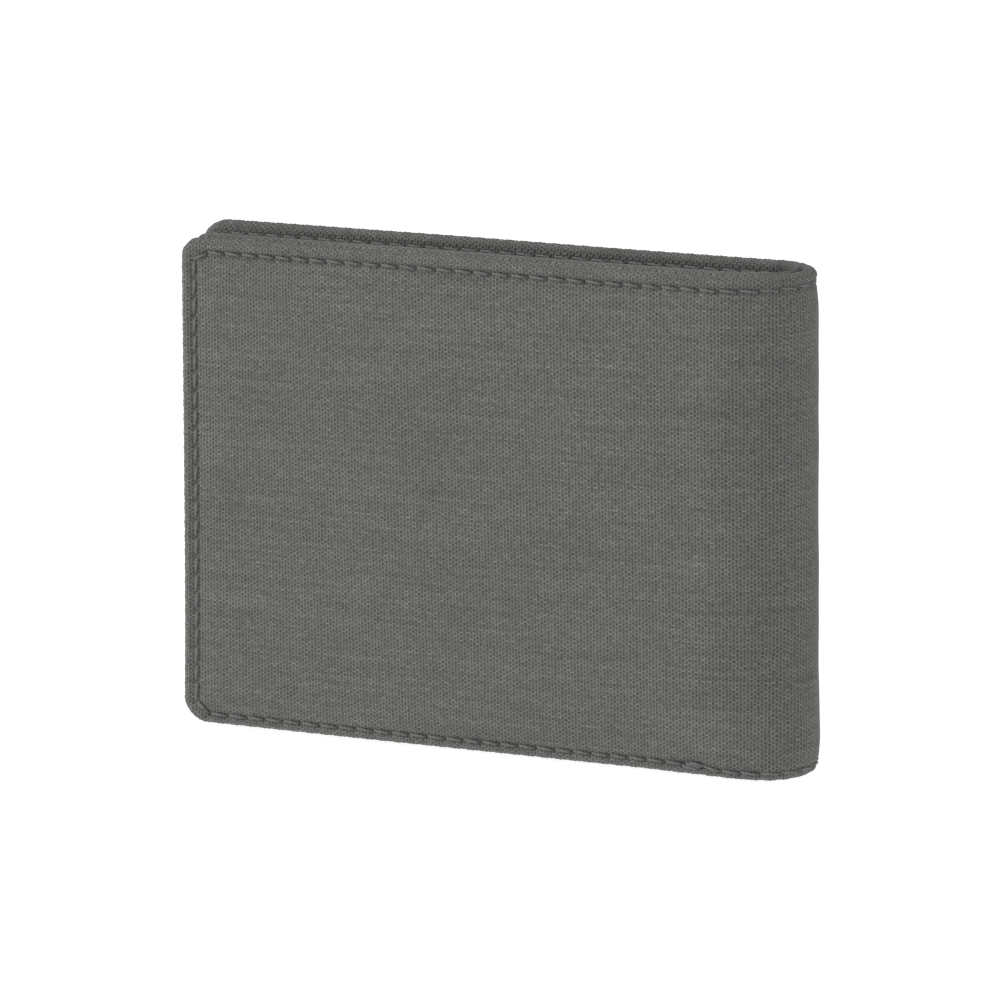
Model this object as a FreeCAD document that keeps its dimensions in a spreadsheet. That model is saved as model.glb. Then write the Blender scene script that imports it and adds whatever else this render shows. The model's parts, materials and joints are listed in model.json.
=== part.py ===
"""Bifold wallet in woven fabric, closed and standing on its bottom edge.

Frame, in millimetres: +X along the length with the folded spine at +X, the
front half on the -Y side and the back half on the +Y side, +Z up.  The origin
is the centre of the bottom edge.

The cover is one padded sheet folded once round the spine.  It is modelled as
two halves and five spine slats, so that six hinges of 30 degrees each open it
flat.  Every layer is placed by its depth, counted inwards from the outer
face of its half.  The front half's inner wall goes on round the spine and
ends at the back half.
"""
import FreeCAD, Part
import os

import Sketcher

SIZES = {
    # outside of the closed wallet
    "wallet_length": 114.3,
    "wallet_height": 88.9,
    "closed_thickness": 15.8,
    "corner_radius": 5.3,
    "top_corner_radius": 3.5,
    "rim_radius": 0.9,
    # cover layers, from the outer face inwards
    "fabric_thickness": 0.5,
    "padding_thickness": 1.2,
    "hem_thickness": 0.5,
    "lining_thickness": 0.3,
    "hem_width": 8.0,
    # pocket stack, from the cover inwards
    "bill_gap": 0.8,
    "backing_thickness": 0.4,
    "card_gap": 0.45,
    "pocket_thickness": 0.5,
    "panel_inset": 1.0,
    "panel_margin": 3.0,
    "panel_spine_gap": 9.7,
    "wall_hem_thickness": 2.8,
    "wall_hem_height": 4.5,
    # heights of the panel edge and the pocket mouths above the bottom edge
    "front_panel_top": 88.4,
    "back_panel_top": 82.0,
    "top_mouth": 74.0,
    "middle_mouth": 66.0,
    "bottom_mouth": 58.0,
    # clear window of the identity card pocket
    "window_frame": 9.0,
    "window_overlap": 3.0,
    "window_thickness": 0.3,
    # seams
    "stitch_inset": 2.1,
    "thread_width": 0.5,
    "thread_depth": 0.4,
    "panel_seam_inset": 1.6,
    "panel_thread_height": 0.2,
    # spine, in degrees
    "slat_angle": 30.0,
    "slat_clearance": 0.8,
}

STACK = ["fabric_thickness", "padding_thickness", "hem_thickness", "bill_gap", "backing_thickness",
         "card_gap", "pocket_thickness", "card_gap", "pocket_thickness", "card_gap", "pocket_thickness"]
PADDING_DEPTH = 1
HEM_DEPTH = 2
BILL_DEPTH = 3
BACKING_DEPTH = 4
FIRST_POCKET_DEPTH = 5

RADIUS = "(Sizes.closed_thickness / 2)"
FREE_X = "(-Sizes.wallet_length / 2)"
SPINE_X = f"(Sizes.wallet_length / 2 - {RADIUS})"
PANEL_X0 = f"({FREE_X} + Sizes.panel_inset)"
PANEL_X1 = f"({SPINE_X} - Sizes.panel_spine_gap)"
HEM_FOOT = "(Sizes.front_panel_top - Sizes.wall_hem_height)"
HEIGHT = "Sizes.wallet_height"
END_SECTOR = "(Sizes.slat_angle / 2 - Sizes.slat_clearance)"
SLAT_SECTOR = "(Sizes.slat_angle - 2 * Sizes.slat_clearance)"

SIDES = {"front": -1, "back": 1}
SLAT_TURNS = {1: 2, 2: 1, 3: 0, 4: -1, 5: -2}
NEAR = 1e-4

document = FreeCAD.newDocument("bifold_wallet")
nodes = []


def make_sheet():
    """The driving dimensions, one row each: name, number with its alias."""
    sheet = document.addObject("Spreadsheet::Sheet", "Sizes")
    for row, (alias, value) in enumerate(SIZES.items(), start=1):
        sheet.set(f"A{row}", alias)
        sheet.set(f"B{row}", str(value))
        sheet.setAlias(f"B{row}", alias)
    document.recompute()


def depth(count):
    """Expression for the depth of the outer side of layer number count."""
    return "(" + " + ".join(["0"] + [f"Sizes.{name}" for name in STACK[:count]]) + ")"


def span(side, outer, inner):
    """Low and high Y of a layer between two depths on one side."""
    if side == "front":
        return f"({outer} - {RADIUS})", f"({inner} - {RADIUS})"
    return f"({RADIUS} - {inner})", f"({RADIUS} - {outer})"


def new_body(label):
    body = document.addObject("PartDesign::Body", label)
    body.Label = label
    return body


def keep(item):
    """Mark a sub-part as a node to write."""
    nodes.append(item)
    return item


def rectangle(body, plane, offset, xs, ys):
    """A rectangle sketch bound to expressions, on a plane moved by offset along its normal."""
    sketch = body.newObject("Sketcher::SketchObject", f"{body.Name}_outline")
    support = [item for item in body.Origin.OriginFeatures if item.Role == plane][0]
    sketch.AttachmentSupport = [(support, "")]
    sketch.MapMode = "FlatFace"
    sketch.setExpression("AttachmentOffset.Base.z", offset)
    corners = [FreeCAD.Vector(x, y, 0) for x, y in ((0, 0), (1, 0), (1, 1), (0, 1))]
    for index in range(4):
        sketch.addGeometry(Part.LineSegment(corners[index], corners[(index + 1) % 4]))
    for index in range(4):
        sketch.addConstraint(Sketcher.Constraint("Coincident", index, 2, (index + 1) % 4, 1))
    for index, kind in enumerate(("Horizontal", "Vertical", "Horizontal", "Vertical")):
        sketch.addConstraint(Sketcher.Constraint(kind, index))
    bounds = (("low_x", "DistanceX", 0, xs[0]), ("low_y", "DistanceY", 0, ys[0]),
              ("high_x", "DistanceX", 2, xs[1]), ("high_y", "DistanceY", 2, ys[1]))
    for name, kind, line, expression in bounds:
        number = sketch.addConstraint(Sketcher.Constraint(kind, -1, 1, line, 1, 0.5 + line / 2))
        sketch.renameConstraint(number, name)
        sketch.setExpression(f"Constraints.{name}", expression)
    document.recompute()
    return sketch


def plate(body, xs, ys, zs, cut=False):
    """A box between expressions, added to the body or cut from it."""
    sketch = rectangle(body, "XZ_Plane", f"-{ys[1]}", xs, zs)
    before = body.Shape.Volume if cut else 0
    feature = body.newObject("PartDesign::Pocket" if cut else "PartDesign::Pad", f"{body.Name}_plate")
    feature.Profile = sketch
    feature.Reversed = cut
    feature.setExpression("Length", f"{ys[1]} - {ys[0]}")
    document.recompute()
    assert not cut or feature.Shape.Volume < before - NEAR, f"{body.Label}: nothing was cut"
    return feature


def end_sector(body, side, ys, zs):
    """The stretch of a half's layer that turns into the spine, up to the first hinge."""
    sketch = rectangle(body, "YZ_Plane", SPINE_X, ys, zs)
    turn = body.newObject("PartDesign::Revolution", f"{body.Name}_turn")
    turn.Profile = sketch
    turn.ReferenceAxis = (sketch, ["V_Axis"])
    turn.setExpression("Angle", END_SECTOR)
    turn.Reversed = side == "back"
    document.recompute()
    return turn


def fillet(body, chosen, radius):
    """Round the edges of the body's last feature that pass a test."""
    base = body.Tip
    names = [f"Edge{number}" for number, edge in enumerate(base.Shape.Edges, start=1) if chosen(edge)]
    assert names, f"{body.Label}: no edge to round"
    rounded = body.newObject("PartDesign::Fillet", f"{body.Name}_round")
    rounded.Base = (base, names)
    rounded.setExpression("Radius", radius)
    document.recompute()


def round_corners(body, radius, upper, inwards=0):
    """Round the upper or the lower corner at the free edge, or some way inwards of it, seen along Y."""
    free_x = body.Shape.BoundBox.XMin + inwards
    middle_z = body.Shape.BoundBox.Center.z

    def is_corner(edge):
        bounds = edge.BoundBox
        along_y = bounds.XLength < NEAR and bounds.ZLength < NEAR
        return along_y and abs(bounds.XMin - free_x) < NEAR and (bounds.ZMin > middle_z) == upper

    fillet(body, is_corner, radius)


def round_both(body, inset, inwards=0):
    """Round both free corners of a piece that lies a constant inset within the cover's outline."""
    round_corners(body, f"Sizes.top_corner_radius - {inset}", True, inwards)
    round_corners(body, f"Sizes.corner_radius - {inset}", False, inwards)


def round_rim(body, axis_x):
    """Round the outer rim: top, bottom and free edge, but not the cuts at the hinges.

    axis_x is where the spine's axis stands in the body's own frame.
    """
    outer = SIZES["closed_thickness"] / 2
    top = SIZES["wallet_height"]

    def is_outside(point):
        reach = abs(point.y) if point.x < axis_x else (point - FreeCAD.Vector(axis_x, 0, point.z)).Length
        return abs(reach - outer) < NEAR

    def is_rim(edge):
        points = edge.discretize(5)
        level = edge.BoundBox.ZLength < NEAR and min(abs(points[0].z), abs(points[0].z - top)) < NEAR
        return all(is_outside(point) for point in points) and (level or points[2].x < axis_x - outer)

    fillet(body, is_rim, "Sizes.rim_radius")


def cover_layer(label, side, outer, inner, inset):
    """One layer of a half of the cover: a plate with round corners and its end sector."""
    body = new_body(label)
    ys = span(side, outer, inner)
    zs = (inset, f"({HEIGHT} - {inset})")
    plate(body, (f"({FREE_X} + {inset})", SPINE_X), ys, zs)
    end_sector(body, side, ys, zs)
    return body


def cut_from(label, base, tools):
    """What is left of base once the tools' space is taken out, as a node."""
    for number, tool in enumerate(tools, start=1):
        left = document.addObject("Part::Cut", f"{label}_cut_{number}")
        left.Base = base
        left.Tool = tool
        base = left
    document.recompute()
    base.Label = label
    return keep(base)


def half_cover(side):
    """Fabric, padding, lining and seam thread of one half."""
    block = cover_layer(f"{side}_cover_block", side, "0", depth(BILL_DEPTH), "0")
    round_both(block, "0")
    round_rim(block, SIZES["wallet_length"] / 2 - SIZES["closed_thickness"] / 2)

    edge = "Sizes.fabric_thickness"
    padding = cover_layer(f"{side}_cover_padding", side, depth(PADDING_DEPTH), depth(HEM_DEPTH), edge)
    round_both(padding, edge)

    hem = "Sizes.hem_width"
    under_hem = f"({depth(HEM_DEPTH)} + Sizes.lining_thickness)"
    lining = cover_layer(f"{side}_cover_lining", side, depth(HEM_DEPTH), under_hem, hem)
    window = cover_layer(f"{side}_hem_window", side, depth(HEM_DEPTH), depth(BILL_DEPTH), hem)

    thread = half_thread(side)
    for item in (padding, lining, thread):
        keep(item)
    cut_from(f"{side}_cover_fabric", block, (padding, window, thread))


def half_thread(side):
    """The seam round one half, flush with the outer face."""
    body = new_body(f"{side}_cover_thread")
    ys = span(side, "0", "Sizes.thread_depth")
    outside = "Sizes.stitch_inset"
    inside = "(Sizes.stitch_inset + Sizes.thread_width)"
    plate(body, (f"({FREE_X} + {outside})", SPINE_X), ys, (outside, f"({HEIGHT} - {outside})"))
    plate(body, (f"({FREE_X} + {inside})", f"({SPINE_X} + 1)"), ys,
          (inside, f"({HEIGHT} - {inside})"), cut=True)
    round_both(body, outside)
    round_both(body, inside, SIZES["thread_width"])
    for low, high in ((outside, inside), (f"({HEIGHT} - {inside})", f"({HEIGHT} - {outside})")):
        end_sector(body, side, ys, (low, high))
    return body


def slat_layer(label, turns, bands):
    """One layer of a spine slat, turned about the spine's axis.

    Each band is the depth of its outer and inner side and its low and high Z.
    """
    body = new_body(label)
    for outer, inner, low, high in bands:
        sketch = rectangle(body, "XZ_Plane", "0", (f"{RADIUS} - {inner}", f"{RADIUS} - {outer}"), (low, high))
        turn = body.newObject("PartDesign::Revolution", f"{body.Name}_turn")
        turn.Profile = sketch
        turn.ReferenceAxis = (sketch, ["V_Axis"])
        turn.Midplane = True
        turn.setExpression("Angle", SLAT_SECTOR)
        document.recompute()
    body.Placement.Rotation = FreeCAD.Rotation(FreeCAD.Vector(0, 0, 1), 0)
    body.setExpression("Placement.Base.x", SPINE_X)
    body.setExpression("Placement.Rotation.Angle", f"{turns} * Sizes.slat_angle")
    document.recompute()
    return body


def spine_slat(number):
    """Fabric, padding, lining, seam thread and inner wall of one slat of the spine."""
    turns = SLAT_TURNS[number]
    edge = "Sizes.fabric_thickness"
    hem = "Sizes.hem_width"
    outside = "Sizes.stitch_inset"
    inside = "(Sizes.stitch_inset + Sizes.thread_width)"
    under_hem = f"({depth(HEM_DEPTH)} + Sizes.lining_thickness)"
    wall_face = depth(BACKING_DEPTH + 1)

    block = slat_layer(f"spine_block_{number}", turns, [("0", depth(BILL_DEPTH), "0", HEIGHT)])
    round_rim(block, 0)
    padding = slat_layer(f"spine_padding_{number}", turns,
                         [(depth(PADDING_DEPTH), depth(HEM_DEPTH), edge, f"({HEIGHT} - {edge})")])
    lining = slat_layer(f"spine_lining_{number}", turns,
                        [(depth(HEM_DEPTH), under_hem, hem, f"({HEIGHT} - {hem})")])
    window = slat_layer(f"spine_window_{number}", turns,
                        [(depth(HEM_DEPTH), depth(BILL_DEPTH), hem, f"({HEIGHT} - {hem})")])
    thread = slat_layer(f"spine_thread_{number}", turns,
                        [("0", "Sizes.thread_depth", outside, inside),
                         ("0", "Sizes.thread_depth", f"({HEIGHT} - {inside})", f"({HEIGHT} - {outside})")])
    wall = slat_layer(f"spine_wall_{number}", turns,
                      [(depth(BACKING_DEPTH), wall_face, "Sizes.panel_inset", "Sizes.front_panel_top"),
                       (wall_face, f"({wall_face} + Sizes.wall_hem_thickness)", HEM_FOOT,
                        "Sizes.front_panel_top")])
    for item in (padding, lining, thread, wall):
        keep(item)
    cut_from(f"spine_fabric_{number}", block, (padding, window, thread))


def panel(label, side, layer, gap_layer, top):
    """A sewn panel: a sheet whose raised margins stand on the layer beneath it."""
    body = new_body(label)
    plate(body, (PANEL_X0, PANEL_X1), span(side, depth(gap_layer), depth(layer + 1)), ("Sizes.panel_inset", top))
    margin = "Sizes.panel_margin"
    plate(body, (f"({PANEL_X0} + {margin})", f"({PANEL_X1} - {margin})"),
          span(side, depth(gap_layer), depth(layer)), (f"(Sizes.panel_inset + {margin})", f"({top} + 1)"), cut=True)
    round_corners(body, "Sizes.corner_radius - Sizes.panel_inset", False)
    return keep(body)


def backing(side, far_x, top):
    """The sheet that carries the pockets, open to the space for banknotes at the top and towards the spine."""
    body = new_body(f"{side}_panel_backing")
    face = depth(BACKING_DEPTH + 1)
    margin = "Sizes.panel_margin"
    plate(body, (PANEL_X0, far_x), span(side, depth(BILL_DEPTH), face), ("Sizes.panel_inset", top))
    plate(body, (f"({PANEL_X0} + {margin})", f"({far_x} + 1)"), span(side, depth(BILL_DEPTH), depth(BACKING_DEPTH)),
          (f"(Sizes.panel_inset + {margin})", f"({top} + 1)"), cut=True)
    round_corners(body, "Sizes.corner_radius - Sizes.panel_inset", False)
    return keep(body)


def inner_wall():
    """The front half's backing goes on into the spine, and its top is turned into a thick soft hem."""
    top = "Sizes.front_panel_top"
    corner = "Sizes.top_corner_radius - Sizes.panel_inset"
    face = depth(BACKING_DEPTH + 1)
    body = backing("front", SPINE_X, top)
    round_corners(body, corner, True)
    end_sector(body, "front", span("front", depth(BACKING_DEPTH), face), ("Sizes.panel_inset", top))

    hem = keep(new_body("front_panel_hem"))
    ys = span("front", face, f"({face} + Sizes.wall_hem_thickness)")
    plate(hem, (PANEL_X0, SPINE_X), ys, (HEM_FOOT, top))
    round_corners(hem, corner, True)
    end_sector(hem, "front", ys, (HEM_FOOT, top))


def pocket(label, side, place, top):
    """Card pocket number place of a half, counted from the backing."""
    gap_layer = FIRST_POCKET_DEPTH + 2 * place
    return panel(label, side, gap_layer + 1, gap_layer, top)


def identity_pocket(side, place):
    """The innermost pocket of the front half: a frame with a clear pane behind it."""
    body = pocket(f"{side}_id_pocket", side, place, "Sizes.bottom_mouth")
    face = depth(FIRST_POCKET_DEPTH + 2 * place + 1)
    frame = "Sizes.window_frame"
    low_z = f"(Sizes.panel_inset + {frame})"
    high_z = f"(Sizes.bottom_mouth - {frame})"
    plate(body, (f"({PANEL_X0} + {frame})", f"({PANEL_X1} - {frame})"),
          span(side, face, depth(FIRST_POCKET_DEPTH + 2 * place + 2)), (low_z, high_z), cut=True)

    pane = new_body("id_window")
    rim = "Sizes.window_overlap"
    plate(pane, (f"({PANEL_X0} + {frame} - {rim})", f"({PANEL_X1} - {frame} + {rim})"),
          span(side, f"({face} - Sizes.window_thickness)", face),
          (f"({low_z} - {rim})", f"({high_z} + {rim})"))
    keep(pane)


def panel_thread(side):
    """The seam that closes the pocket stack beside the spine, one run on each step."""
    body = new_body(f"{side}_panel_thread")
    high_x = f"({PANEL_X1} - Sizes.panel_seam_inset)"
    low_x = f"({high_x} - Sizes.thread_width)"
    levels = ["Sizes.panel_inset", "Sizes.bottom_mouth", "Sizes.middle_mouth", "Sizes.top_mouth",
              HEM_FOOT if side == "front" else "Sizes.back_panel_top"]
    faces = [len(STACK), len(STACK) - 2, len(STACK) - 4, FIRST_POCKET_DEPTH]
    for step, face in enumerate(faces):
        raised = f"({depth(face)} + Sizes.panel_thread_height)"
        low_z = f"({levels[step]} + Sizes.thread_width)"
        high_z = f"({levels[step + 1]} - Sizes.thread_width)"
        plate(body, (low_x, high_x), span(side, depth(face), raised), (low_z, high_z))
    keep(body)


def pocket_stack(side):
    """Backing, pockets and their seam on one half."""
    if side == "front":
        inner_wall()
    else:
        backing(side, PANEL_X1, "Sizes.back_panel_top")
    pocket(f"{side}_card_pocket_top", side, 0, "Sizes.top_mouth")
    pocket(f"{side}_card_pocket_middle", side, 1, "Sizes.middle_mouth")
    if side == "front":
        identity_pocket(side, 2)
    else:
        pocket(f"{side}_card_pocket_bottom", side, 2, "Sizes.bottom_mouth")
    panel_thread(side)


def check():
    """Stop before writing anything if a feature or a node is broken."""
    for item in document.Objects:
        broken = {"Invalid", "Error"} & set(item.State)
        assert not broken, f"{item.Label} is {broken}"
    labels = [item.Label for item in nodes]
    assert len(set(labels)) == len(labels), "two nodes share a label"
    for item in nodes:
        assert not item.Shape.isNull() and item.Shape.isValid(), f"{item.Label} has no valid shape"


def write():
    os.makedirs("parts", exist_ok=True)
    for item in nodes:
        item.Shape.exportStep(f"parts/{item.Label}.step")


make_sheet()
for half in SIDES:
    half_cover(half)
for slat in SLAT_TURNS:
    spine_slat(slat)
for half in SIDES:
    pocket_stack(half)
document.recompute()
check()
write()
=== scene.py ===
"""Bifold wallet in grey woven fabric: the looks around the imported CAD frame.

Lengths in this file are millimetres until a mesh is made.  A point of the
cover is given by its place on the flat sheet (s along the sheet from the front
free edge, z up) and its depth w, counted inwards from the outer face.
"""
import json
import math

import bmesh
import bpy
import numpy as np
from mathutils import Matrix, Vector
from mathutils.geometry import delaunay_2d_cdt


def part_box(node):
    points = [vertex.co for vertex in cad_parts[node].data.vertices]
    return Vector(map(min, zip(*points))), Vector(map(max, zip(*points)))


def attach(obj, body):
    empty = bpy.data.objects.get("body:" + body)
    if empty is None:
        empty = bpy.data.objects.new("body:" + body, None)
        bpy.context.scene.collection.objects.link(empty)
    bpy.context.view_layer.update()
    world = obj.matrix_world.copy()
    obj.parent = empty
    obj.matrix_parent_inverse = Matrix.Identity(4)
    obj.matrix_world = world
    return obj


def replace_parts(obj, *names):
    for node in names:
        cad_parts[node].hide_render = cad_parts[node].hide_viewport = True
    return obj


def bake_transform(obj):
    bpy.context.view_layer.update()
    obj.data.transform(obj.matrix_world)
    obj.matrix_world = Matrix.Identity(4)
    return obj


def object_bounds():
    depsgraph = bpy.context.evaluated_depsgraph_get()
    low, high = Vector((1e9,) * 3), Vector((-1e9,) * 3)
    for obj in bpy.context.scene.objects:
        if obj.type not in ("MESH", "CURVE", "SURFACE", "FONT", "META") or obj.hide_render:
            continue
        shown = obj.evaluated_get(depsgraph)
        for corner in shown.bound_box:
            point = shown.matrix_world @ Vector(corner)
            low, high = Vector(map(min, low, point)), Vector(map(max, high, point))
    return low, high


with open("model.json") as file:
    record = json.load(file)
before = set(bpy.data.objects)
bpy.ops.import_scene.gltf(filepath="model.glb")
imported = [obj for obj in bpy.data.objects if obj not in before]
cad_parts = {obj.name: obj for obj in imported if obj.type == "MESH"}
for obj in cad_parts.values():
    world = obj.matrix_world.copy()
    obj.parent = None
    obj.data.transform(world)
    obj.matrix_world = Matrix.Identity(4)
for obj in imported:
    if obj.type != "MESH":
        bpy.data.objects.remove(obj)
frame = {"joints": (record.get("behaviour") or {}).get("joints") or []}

cad_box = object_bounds()
MM = 0.001
LENGTH, THICKNESS, HEIGHT = [(high - low) / MM for low, high in zip(*cad_box)]
RADIUS = THICKNESS / 2
SPINE_X = LENGTH / 2 - RADIUS
FLAT = SPINE_X + LENGTH / 2
TURN = math.pi * RADIUS
SHEET = 2 * FLAT + TURN

# the cover: its corners, how thick it is inside and at its rim, how far the rim bulges, lining and hem
CORNER = 4.9
TOP_CORNER = 3.5
COVER = 2.2
RIM = 2.7
NOSE = 1.25
LINING_DEPTH = 1.6
LINING_FACE = LINING_DEPTH + 0.03
LINING_BACK = LINING_DEPTH + 0.33
HEM = 8.0
# its seam: from hole to hole, the thread's radius, how far inside the outline it runs, and how much
# higher it comes out on the inner face
PITCH = 3.38
THREAD = 0.22
PROUD = 0.26
SUNK = 0.06
TOP_INSET = 2.3
SIDE_INSET = 2.7
BOTTOM_INSET = 2.0
SPINE_RISE = 0.5
INNER_RISE = 0.2
# how it stands: the free edges lean, the back one less, and the lower edge sags next to the spine
LEANING_PART = 34
TOP_LEAN = 2.85
FOOT_LEAN = 1.0
BACK_LEAN = 1.6
SAG_HEIGHT = 14
SAGS = ((0.15, 28, 37), (0.3, 37, 47))
# the spine: from how far before its axis and by how much the front face turns in, and its slant
TURN_IN_START = 10.2
TURN_IN = 7.0
SPINE_SLANT = 0.6
# relief of the outer face: the sewn channel, the puff inside it, the needle holes, the dips beside the
# stitches and the creases next to the spine, each crease by its distance from the turn and its slant
CHANNEL = 0.18
PUFF = 0.30
HOLE = 0.32
DIP = 0.15
CREASE = 0.13
CREASES = ((FLAT - 17, 0.07), (FLAT - 11, -0.05), (SHEET - FLAT + 17, -0.07))
TACK = 11.5

SIDES = ("front", "back")
FOLDS = [joint["name"] for joint in frame["joints"]]
STRIP = math.pi / len(FOLDS)


# ---------------------------------------------------------------- the sheet

def smooth(value, low, high):
    """0 below low, 1 above high, smooth between."""
    t = np.clip((np.asarray(value, float) - low) / (high - low), 0, 1)
    return t * t * (3 - 2 * t)


def bell(value, width):
    return np.exp(-(np.asarray(value) / width) ** 2)


def place(s, z, w):
    """Points in space of places on the sheet, one row each."""
    s, z, w = np.broadcast_arrays(np.asarray(s, float), np.asarray(z, float), np.asarray(w, float))
    turn = np.clip((s - FLAT) / RADIUS, 0, math.pi)
    before = np.minimum(s - FLAT, 0)
    after = np.maximum(s - FLAT - TURN, 0)
    reach = RADIUS - w
    x = SPINE_X + before - after + reach * np.sin(turn)
    y = -reach * np.cos(turn)
    return settled(s, z, x, y)


def settled(s, z, x, y):
    """Flat flanks and a true half cylinder, as they really stand: leaning, sagging and turned in."""
    free = 1 - smooth(np.minimum(s, SHEET - s), 0, LEANING_PART)
    below_top = np.maximum(HEIGHT - z, 0)
    on_back = (s > SHEET / 2) * (1 - np.exp(-below_top / 2.2))
    lean = TOP_LEAN * np.clip(z / HEIGHT, 0, 1) ** 0.75 - FOOT_LEAN - BACK_LEAN * on_back
    to_end = np.clip((x - SPINE_X + TURN_IN_START) / (LENGTH / 2 - SPINE_X + TURN_IN_START), 0, 1)
    turned_in = TURN_IN * to_end ** 2 * (1 - 0.22 * to_end ** 2) * (0.5 + 0.5 * smooth(z, 0, 30))
    y = y + turned_in * (0.5 - y / THICKNESS)
    x = x + lean * free - SPINE_SLANT * smooth(to_end, 0.4, 1) * smooth(z, 0, 25)
    sag = (1 - smooth(z, 0, SAG_HEIGHT)) * sum(amount * smooth(x, low, high) for amount, low, high in SAGS)
    bottom = 0.1 * free * (1 - smooth(z, 0, 30)) - sag
    stretch = 1.004 - 0.002 * smooth(x, -15, 25)
    return np.stack([x, y, stretch * z + bottom], axis=-1)


def edge_distance(s, z):
    """How far inside the sheet's outline a place is, with the four round corners."""
    a = np.minimum(s, SHEET - s)
    b = np.minimum(z, HEIGHT - z)
    corner = np.where(np.asarray(z) > HEIGHT / 2, TOP_CORNER, CORNER)
    round_part = corner - np.hypot(corner - a, corner - b)
    return np.where((a < corner) & (b < corner), round_part, np.minimum(a, b))


def seam_inset(s, z):
    """How far inside the outline the seam runs: closer at the bottom, closest below the spine."""
    middle = np.abs(np.asarray(s, float) - SHEET / 2)
    bottom = BOTTOM_INSET - SPINE_RISE * smooth(-middle, -TURN / 2 - 12, -TURN / 2 - 6)
    return bottom + (TOP_INSET - bottom) * smooth(z, HEIGHT * 0.3, HEIGHT * 0.7)


def waves(s, z):
    """Slow unevenness of soft padding, within about 1."""
    total = 0
    for number, (pitch, lean) in enumerate(((41, 0.4), (27, -1.1), (19, 2.2), (13, 0.9))):
        along = s * math.cos(lean) + z * math.sin(lean)
        across = z * math.cos(lean) - s * math.sin(lean)
        total = total + np.sin(along / pitch * 6.28 + number) * np.cos(across / pitch * 4.1 + 2 * number)
    return total / 3


HOLES = []
SHADES = []


def nearest(s, z, places):
    """Distance to the nearest of some places, for places on the sheet close to a seam."""
    return np.hypot(s[:, None] - places[:, 0], z[:, None] - places[:, 1]).min(axis=1)


def yarn_bumps(s, z):
    """Small swellings where the yarns run over the rim."""
    return 0.055 * np.sin(7.31 * (s - z)) + 0.04 * np.sin(2.3 * (s + z) + 1.3)


def outer_depth(s, z):
    """Depth of the fabric's outer face: puffed inside the seam, drawn in along it and at each hole."""
    s, z = np.asarray(s, float), np.asarray(z, float)
    inside = edge_distance(s, z) - seam_inset(s, z)
    depth = CHANNEL * bell(inside, 0.6) - PUFF * smooth(inside, 0.2, 5.0) - 0.10 * bell(inside + 1.2, 0.6)
    depth = depth + 0.10 * waves(s, z) * smooth(inside, 1, 12)
    near = (np.abs(inside) < 1.8) & np.ones(depth.shape, bool)
    if near.any():
        depth[near] += HOLE * bell(nearest(s[near], z[near], np.array(HOLES)), 0.6)
        depth[near] += DIP * bell(nearest(s[near], z[near], np.array(SHADES)), 0.7)
    for centre, slant in CREASES:
        crease = bell(s - centre - slant * (HEIGHT - z), 2.6) * smooth(z, 25, 80)
        depth = depth + CREASE * crease * smooth(inside, 0, 3)
    tack = np.hypot(np.minimum(np.abs(s - FLAT + TACK), np.abs(s - SHEET + FLAT - TACK)) / 2.2, z - 1.9)
    return depth + 0.25 * bell(tack, 1.2)


def painted_seam_shade(s, z, rise=0.0):
    """0 to 1: painted shade along the seam, at each needle hole and beside each stitch's diving end, where
    the fabric would lie in shade; rise lifts the upper seam.
    """
    s, z = np.asarray(s, float), np.asarray(z, float) - rise * (np.asarray(z) > HEIGHT / 2)
    inside = edge_distance(s, z) - seam_inset(s, z)
    dark = 0.06 * bell(inside, 0.45) + 0 * s
    near = (np.abs(inside) < 1.8) & np.ones(dark.shape, bool)
    if near.any():
        dark[near] += 0.3 * bell(nearest(s[near], z[near], np.array(HOLES)), 0.42)
        dark[near] += 0.16 * bell(nearest(s[near], z[near], np.array(SHADES)), 0.6)
    return np.clip(dark, 0, 1)


# Weaker painted shade for the inner face's seam; inner_depth also uses it as a small real dent.
def inner_seam_dent_and_painted_shade(s, z):
    return 0.25 * painted_seam_shade(s, z, INNER_RISE)


def inner_depth(s, z):
    """Depth of the cover's inner face: a thick rim, the turned hem, and the step down to the lining."""
    inside = edge_distance(s, z)
    hem = RIM + (COVER - RIM) * smooth(inside, 3.2, 5.2) - 0.4 * inner_seam_dent_and_painted_shade(s, z)
    return hem + (LINING_DEPTH - COVER) * smooth(inside, HEM - 0.25, HEM + 0.1)


# ---------------------------------------------------------------- meshes

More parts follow.
